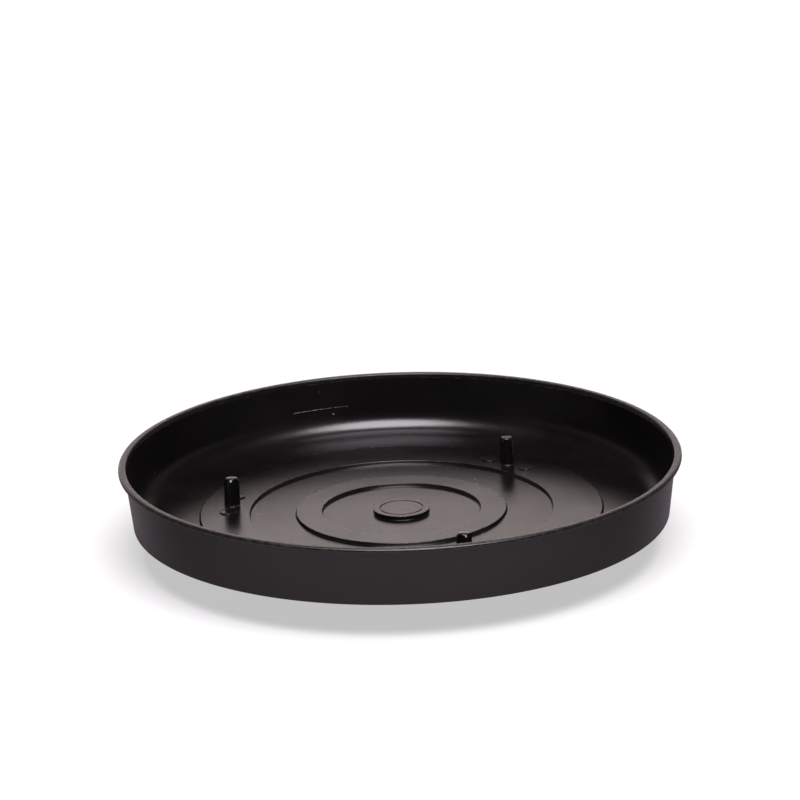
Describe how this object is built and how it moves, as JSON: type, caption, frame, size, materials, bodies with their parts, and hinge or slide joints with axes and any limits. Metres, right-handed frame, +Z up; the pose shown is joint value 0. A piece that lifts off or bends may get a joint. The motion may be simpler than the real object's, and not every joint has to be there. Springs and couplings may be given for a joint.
{
  "type": "plant pot caddy",
  "caption": "Round black plastic saucer with stepped floor rings and ribbed pegs, carried on low swivelling twin-wheel casters hidden under its wall.",
  "frame": {"origin": "on the ground under the centre of the saucer", "axes": "+Z up; -Y towards the front, where one of the pegs stands; the wheels trail towards +Y at rest"},
  "size_m": [0.4, 0.4, 0.069],
  "materials": {
    "tray_plastic": "satin moulded black polypropylene",
    "housing_plastic": "fine-grained black nylon",
    "wheel_plastic": "smooth dark grey nylon",
    "tread_rubber": "dull grey thermoplastic rubber",
    "washer_plastic": "natural acetal",
    "plated_steel": "zinc-plated turned steel",
    "spring_steel": "oiled spring steel"
  },
  "bodies": {
    "root": {"tray": "tray_plastic", "grip_ring_1": "spring_steel", "grip_ring_2": "spring_steel", "grip_ring_3": "spring_steel"},
    "caster_1": {"stem_1": "plated_steel", "thrust_washer_1": "washer_plastic", "housing_1": "housing_plastic", "axle_1": "plated_steel"},
    "wheel_1_left": {"wheel_hub_1_left": "wheel_plastic", "wheel_tread_1_left": "tread_rubber"},
    "wheel_1_right": {"wheel_hub_1_right": "wheel_plastic", "wheel_tread_1_right": "tread_rubber"},
    "caster_2": {"stem_2": "plated_steel", "thrust_washer_2": "washer_plastic", "housing_2": "housing_plastic", "axle_2": "plated_steel"},
    "wheel_2_left": {"wheel_hub_2_left": "wheel_plastic", "wheel_tread_2_left": "tread_rubber"},
    "wheel_2_right": {"wheel_hub_2_right": "wheel_plastic", "wheel_tread_2_right": "tread_rubber"},
    "caster_3": {"stem_3": "plated_steel", "thrust_washer_3": "washer_plastic", "housing_3": "housing_plastic", "axle_3": "plated_steel"},
    "wheel_3_left": {"wheel_hub_3_left": "wheel_plastic", "wheel_tread_3_left": "tread_rubber"},
    "wheel_3_right": {"wheel_hub_3_right": "wheel_plastic", "wheel_tread_3_right": "tread_rubber"}
  },
  "joints": [
    {"name": "caster_1_swivel", "type": "hinge", "parent": "root", "child": "caster_1", "pos_m": [-0.12059, 0.0204, 0.0276], "axis": [0, 0, 1], "continuous": true},
    {"name": "wheel_1_left_spin", "type": "hinge", "parent": "caster_1", "child": "wheel_1_left", "pos_m": [-0.12059, 0.0284, 0.011], "axis": [1, 0, 0], "continuous": true},
    {"name": "wheel_1_right_spin", "type": "hinge", "parent": "caster_1", "child": "wheel_1_right", "pos_m": [-0.12059, 0.0284, 0.011], "axis": [1, 0, 0], "continuous": true},
    {"name": "caster_2_swivel", "type": "hinge", "parent": "root", "child": "caster_2", "pos_m": [0.07796, 0.09423, 0.0276], "axis": [0, 0, 1], "continuous": true},
    {"name": "wheel_2_left_spin", "type": "hinge", "parent": "caster_2", "child": "wheel_2_left", "pos_m": [0.07796, 0.10223, 0.011], "axis": [1, 0, 0], "continuous": true},
    {"name": "wheel_2_right_spin", "type": "hinge", "parent": "caster_2", "child": "wheel_2_right", "pos_m": [0.07796, 0.10223, 0.011], "axis": [1, 0, 0], "continuous": true},
    {"name": "caster_3_swivel", "type": "hinge", "parent": "root", "child": "caster_3", "pos_m": [0.04263, -0.11463, 0.0276], "axis": [0, 0, 1], "continuous": true},
    {"name": "wheel_3_left_spin", "type": "hinge", "parent": "caster_3", "child": "wheel_3_left", "pos_m": [0.04263, -0.10663, 0.011], "axis": [1, 0, 0], "continuous": true},
    {"name": "wheel_3_right_spin", "type": "hinge", "parent": "caster_3", "child": "wheel_3_right", "pos_m": [0.04263, -0.10663, 0.011], "axis": [1, 0, 0], "continuous": true}
  ]
}
